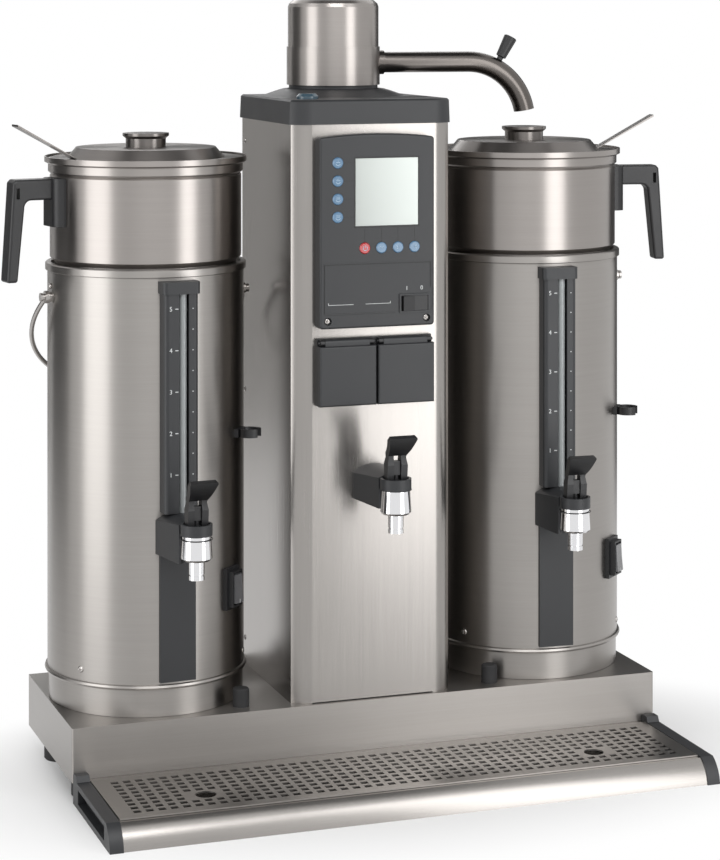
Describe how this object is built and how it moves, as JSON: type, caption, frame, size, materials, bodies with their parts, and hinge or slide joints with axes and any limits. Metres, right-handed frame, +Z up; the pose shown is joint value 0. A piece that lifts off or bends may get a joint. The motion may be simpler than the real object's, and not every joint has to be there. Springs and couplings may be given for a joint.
{
  "type": "filter coffee brewer",
  "caption": "Counter-top filter coffee brewer: boiler column with swivelling spout and hot tap between two lidded, tapped containers, over a drip tray.",
  "frame": {"origin": "middle of the footprint box, on the plane the feet stand on", "axes": "+Z up; -Y towards the user, the side with the panel, taps and drip tray; +X to the user's right"},
  "size_m": [0.7952, 0.4039, 0.8541],
  "materials": {
    "brushed steel": "satin brushed sheet",
    "polished steel": "bright spun steel",
    "tank steel": "plain drawn steel",
    "chrome": "bright plating",
    "brass": "plain turned brass",
    "black rubber": "matt",
    "dark grey moulding": "fine matt texture",
    "black moulding": "satin",
    "blue moulding": "gloss",
    "red key": "satin",
    "display glass": "glossy clear pane over a display",
    "gauge glass": "clear tube"
  },
  "bodies": {
    "machine": {"base_housing": "brushed steel", "feet_and_pegs": "black rubber", "column_shell": "brushed steel", "front_cover": "brushed steel", "column_lid": "dark grey moulding", "boiler_tank": "tank steel", "inlet_valve": "brass", "control_panel": "dark grey moulding", "display_window": "display glass", "socket_block": "black moulding", "hot_tap_bracket": "black moulding", "hot_tap_body": "chrome"},
    "side_key_1_body": {"side_key_1": "blue moulding"},
    "side_key_2_body": {"side_key_2": "blue moulding"},
    "side_key_3_body": {"side_key_3": "blue moulding"},
    "side_key_4_body": {"side_key_4": "blue moulding"},
    "stop_key_body": {"stop_key": "red key"},
    "menu_key_1_body": {"menu_key_1": "blue moulding"},
    "menu_key_2_body": {"menu_key_2": "blue moulding"},
    "menu_key_3_body": {"menu_key_3": "blue moulding"},
    "lid_button_body": {"lid_button": "blue moulding"},
    "power_rocker_body": {"power_rocker": "black moulding"},
    "left_flap_body": {"left_socket_flap": "dark grey moulding"},
    "right_flap_body": {"right_socket_flap": "dark grey moulding"},
    "hot_tap_stem_body": {"hot_tap_stem": "chrome"},
    "hot_tap_lever_body": {"hot_tap_lever": "black moulding"},
    "spout_arm": {"arm_head": "brushed steel", "swivel_tube": "polished steel", "arm_grip": "black moulding"},
    "tray_body": {"drip_tray": "brushed steel", "tray_end_caps": "dark grey moulding"},
    "grille_body": {"drip_grille": "brushed steel"},
    "left_vessel_body": {"left_container": "brushed steel", "left_bail_ears": "polished steel", "left_gauge_housing": "black moulding", "left_gauge_glass": "gauge glass", "left_tap_bracket": "black moulding", "left_tap_body": "chrome", "left_side_fittings": "black moulding"},
    "left_tap_stem_body": {"left_tap_stem": "chrome"},
    "left_tap_lever_body": {"left_tap_lever": "black moulding"},
    "left_rocker_body": {"left_switch_rocker": "black moulding"},
    "left_bail_body": {"left_bail": "polished steel"},
    "left_pan_body": {"left_filter_pan": "polished steel", "left_pan_handle": "black moulding"},
    "left_lid_body": {"left_pan_lid": "polished steel"},
    "right_vessel_body": {"right_container": "brushed steel", "right_bail_ears": "polished steel", "right_gauge_housing": "black moulding", "right_gauge_glass": "gauge glass", "right_tap_bracket": "black moulding", "right_tap_body": "chrome", "right_side_fittings": "black moulding"},
    "right_tap_stem_body": {"right_tap_stem": "chrome"},
    "right_tap_lever_body": {"right_tap_lever": "black moulding"},
    "right_rocker_body": {"right_switch_rocker": "black moulding"},
    "right_bail_body": {"right_bail": "polished steel"},
    "right_pan_body": {"right_filter_pan": "polished steel", "right_pan_handle": "black moulding"},
    "right_lid_body": {"right_pan_lid": "polished steel"}
  },
  "joints": [
    {"name": "side_key_1_press", "type": "slide", "parent": "machine", "child": "side_key_1_body", "axis": [0, 1, 0], "range_m": [0, 0.001], "stiffness_N_per_m": 300, "springref_m": -0.001},
    {"name": "side_key_2_press", "type": "slide", "parent": "machine", "child": "side_key_2_body", "axis": [0, 1, 0], "range_m": [0, 0.001], "stiffness_N_per_m": 300, "springref_m": -0.001},
    {"name": "side_key_3_press", "type": "slide", "parent": "machine", "child": "side_key_3_body", "axis": [0, 1, 0], "range_m": [0, 0.001], "stiffness_N_per_m": 300, "springref_m": -0.001},
    {"name": "side_key_4_press", "type": "slide", "parent": "machine", "child": "side_key_4_body", "axis": [0, 1, 0], "range_m": [0, 0.001], "stiffness_N_per_m": 300, "springref_m": -0.001},
    {"name": "stop_key_press", "type": "slide", "parent": "machine", "child": "stop_key_body", "axis": [0, 1, 0], "range_m": [0, 0.001], "stiffness_N_per_m": 300, "springref_m": -0.001},
    {"name": "menu_key_1_press", "type": "slide", "parent": "machine", "child": "menu_key_1_body", "axis": [0, 1, 0], "range_m": [0, 0.001], "stiffness_N_per_m": 300, "springref_m": -0.001},
    {"name": "menu_key_2_press", "type": "slide", "parent": "machine", "child": "menu_key_2_body", "axis": [0, 1, 0], "range_m": [0, 0.001], "stiffness_N_per_m": 300, "springref_m": -0.001},
    {"name": "menu_key_3_press", "type": "slide", "parent": "machine", "child": "menu_key_3_body", "axis": [0, 1, 0], "range_m": [0, 0.001], "stiffness_N_per_m": 300, "springref_m": -0.001},
    {"name": "lid_button_press", "type": "slide", "parent": "machine", "child": "lid_button_body", "axis": [0, 0, -1], "range_m": [0, 0.002], "stiffness_N_per_m": 300, "springref_m": -0.002},
    {"name": "power_rocker_tip", "type": "hinge", "parent": "machine", "child": "power_rocker_body", "pos_m": [0.0435, -0.04324, 0.518], "axis": [0, 0, 1], "range_deg": [-14, 0]},
    {"name": "left_flap_open", "type": "hinge", "parent": "machine", "child": "left_flap_body", "pos_m": [-0.034, -0.04094, 0.4771], "axis": [-1, 0, 0], "range_deg": [0, 90], "stiffness_Nm_per_rad": 0.02, "springref_deg": -28.65},
    {"name": "right_flap_open", "type": "hinge", "parent": "machine", "child": "right_flap_body", "pos_m": [0.034, -0.04094, 0.4771], "axis": [-1, 0, 0], "range_deg": [0, 90], "stiffness_Nm_per_rad": 0.02, "springref_deg": -28.65},
    {"name": "hot_tap_stem_lift", "type": "slide", "parent": "machine", "child": "hot_tap_stem_body", "axis": [0, 0, 1], "range_m": [0, 0.0026]},
    {"name": "hot_tap_lever_tilt", "type": "hinge", "parent": "hot_tap_stem_body", "child": "hot_tap_lever_body", "pos_m": [0, -0.10584, 0.352], "axis": [1, 0, 0], "range_deg": [0, 30], "stiffness_Nm_per_rad": 0.2, "springref_deg": -17.19},
    {"name": "spout_swing", "type": "hinge", "parent": "machine", "child": "spout_arm", "pos_m": [0, 0.10616, 0.7816], "axis": [0, 0, 1], "range_deg": [-168, 0]},
    {"name": "tray_slide", "type": "slide", "parent": "machine", "child": "tray_body", "axis": [0, -1, 0], "range_m": [0, 0.15]},
    {"name": "grille_lift", "type": "slide", "parent": "tray_body", "child": "grille_body", "axis": [0, 0, 1], "range_m": [0, 0.06]},
    {"name": "left_container_lift", "type": "slide", "parent": "machine", "child": "left_vessel_body", "axis": [0, 0, 1], "range_m": [0, 0.15]},
    {"name": "left_tap_stem_lift", "type": "slide", "parent": "left_vessel_body", "child": "left_tap_stem_body", "axis": [0, 0, 1], "range_m": [0, 0.0026]},
    {"name": "left_tap_lever_tilt", "type": "hinge", "parent": "left_tap_stem_body", "child": "left_tap_lever_body", "pos_m": [-0.21874, -0.09048, 0.3147], "axis": [0.9979, 0.0645, 0], "range_deg": [0, 30], "stiffness_Nm_per_rad": 0.2, "springref_deg": -17.19},
    {"name": "left_rocker_tip", "type": "hinge", "parent": "left_vessel_body", "child": "left_rocker_body", "pos_m": [-0.15065, -0.00282, 0.207], "axis": [0.7314, 0.682, 0], "range_deg": [0, 8]},
    {"name": "left_bail_swing", "type": "hinge", "parent": "left_vessel_body", "child": "left_bail_body", "pos_m": [-0.2299, 0.08216, 0.526], "axis": [0.9979, 0.0645, 0], "range_deg": [0, 88]},
    {"name": "left_pan_lift", "type": "slide", "parent": "left_vessel_body", "child": "left_pan_body", "axis": [0, 0, 1], "range_m": [0, 0.15]},
    {"name": "left_lid_lift", "type": "slide", "parent": "left_pan_body", "child": "left_lid_body", "axis": [0, 0, 1], "range_m": [0, 0.08]},
    {"name": "right_container_lift", "type": "slide", "parent": "machine", "child": "right_vessel_body", "axis": [0, 0, 1], "range_m": [0, 0.005]},
    {"name": "right_tap_stem_lift", "type": "slide", "parent": "right_vessel_body", "child": "right_tap_stem_body", "axis": [0, 0, 1], "range_m": [0, 0.0026]},
    {"name": "right_tap_lever_tilt", "type": "hinge", "parent": "right_tap_stem_body", "child": "right_tap_lever_body", "pos_m": [0.21874, -0.09048, 0.3147], "axis": [0.9979, -0.0645, 0], "range_deg": [0, 30], "stiffness_Nm_per_rad": 0.2, "springref_deg": -17.19},
    {"name": "right_rocker_tip", "type": "hinge", "parent": "right_vessel_body", "child": "right_rocker_body", "pos_m": [0.30915, -0.00282, 0.207], "axis": [0.7314, 0.682, 0], "range_deg": [0, 8]},
    {"name": "right_bail_swing", "type": "hinge", "parent": "right_vessel_body", "child": "right_bail_body", "pos_m": [0.2299, 0.08216, 0.526], "axis": [0.9979, -0.0645, 0], "range_deg": [0, 88]},
    {"name": "right_pan_lift", "type": "slide", "parent": "right_vessel_body", "child": "right_pan_body", "axis": [0, 0, 1], "range_m": [0, 0.005]},
    {"name": "right_lid_lift", "type": "slide", "parent": "right_pan_body", "child": "right_lid_body", "axis": [0, 0, 1], "range_m": [0, 0.005]}
  ],
  "couplings": [
    {"joint": "hot_tap_stem_lift", "follows": "hot_tap_lever_tilt", "m_per_rad": 0.0047746},
    {"joint": "left_tap_stem_lift", "follows": "left_tap_lever_tilt", "m_per_rad": 0.0047746},
    {"joint": "right_tap_stem_lift", "follows": "right_tap_lever_tilt", "m_per_rad": 0.0047746}
  ]
}
